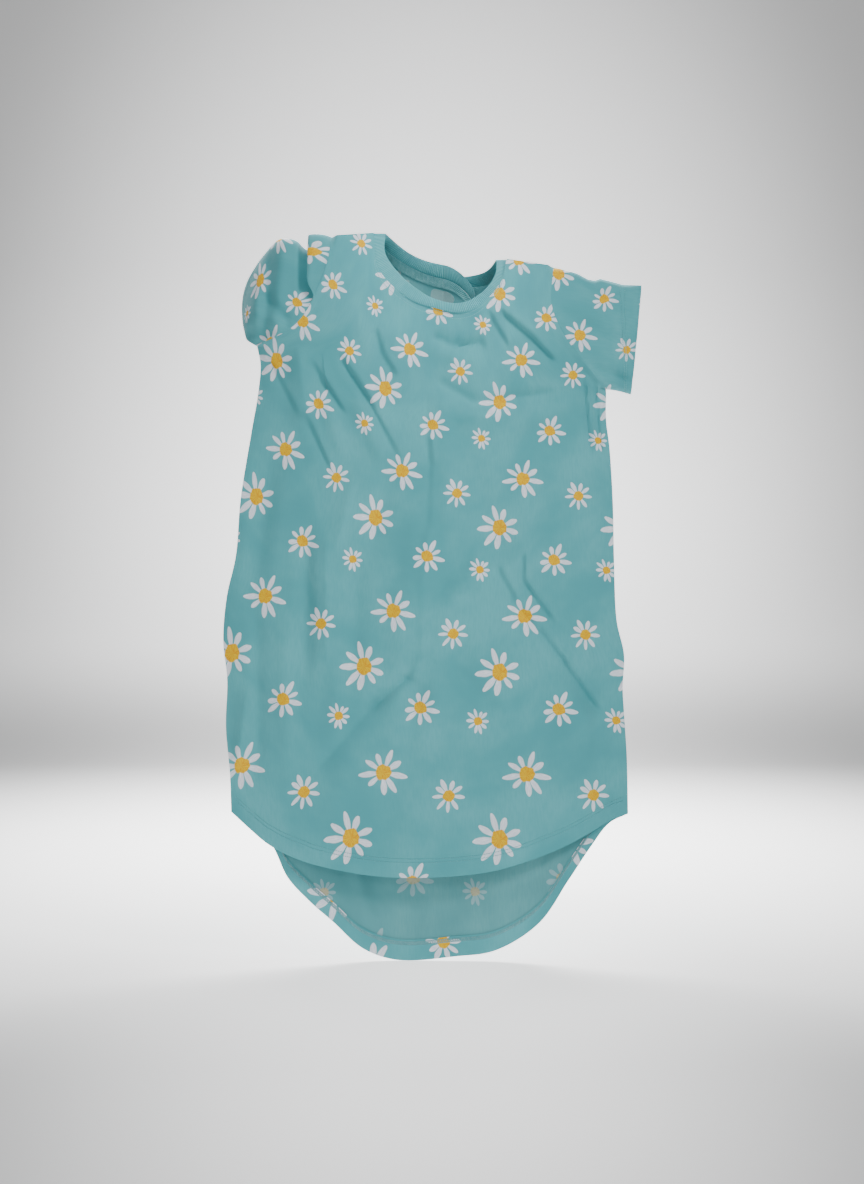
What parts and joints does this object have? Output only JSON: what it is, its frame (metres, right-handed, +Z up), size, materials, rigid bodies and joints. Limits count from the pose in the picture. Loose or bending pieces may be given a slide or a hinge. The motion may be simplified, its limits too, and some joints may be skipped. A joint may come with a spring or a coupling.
{
  "type": "patient gown",
  "caption": "Short-sleeved patient gown with a ribbed round neck, loose body, curved front hem and longer rounded back tail.",
  "frame": {"origin": "between the shoulders at the height of the neck points, where a hanger or the wearer's shoulders hold the gown", "axes": "+Z up along the gown's length, -Y out of its front, +X towards the wearer's left"},
  "size_m": [0.6269, 0.1192, 1.0943],
  "materials": {
    "jersey": "aqua cotton jersey, printed with white daisies with yellow centres, matt",
    "rib": "aqua cotton rib knit, matt",
    "tape": "aqua cotton tape, matt",
    "thread": "aqua spun polyester sewing thread",
    "label": "grey-green blank patch, matt"
  },
  "bodies": {
    "gown": {"front_panel": "jersey", "back_panel": "jersey", "neckband": "rib", "neck_topstitch_front": "thread", "neck_topstitch_back": "thread", "back_neck_tape": "tape", "size_label": "label", "front_hem_stitching": "thread", "back_hem_stitching": "thread", "shoulder_tape_left": "tape", "shoulder_tape_right": "tape", "side_seam_left": "thread", "side_seam_right": "thread"},
    "left_sleeve": {"sleeve_left": "jersey", "armhole_seam_left": "thread", "cuff_stitching_left": "thread"},
    "right_sleeve": {"sleeve_right": "jersey", "armhole_seam_right": "thread", "cuff_stitching_right": "thread"}
  },
  "joints": [
    {"name": "left_sleeve_swing", "type": "hinge", "parent": "gown", "child": "left_sleeve", "pos_m": [0.221, 0, -0.122], "axis": [0.4019, 0, -0.9157], "range_deg": [-28, 30]},
    {"name": "right_sleeve_swing", "type": "hinge", "parent": "gown", "child": "right_sleeve", "pos_m": [-0.206, 0, -0.0675], "axis": [0.5662, 0, 0.8243], "range_deg": [-10, 45]}
  ]
}
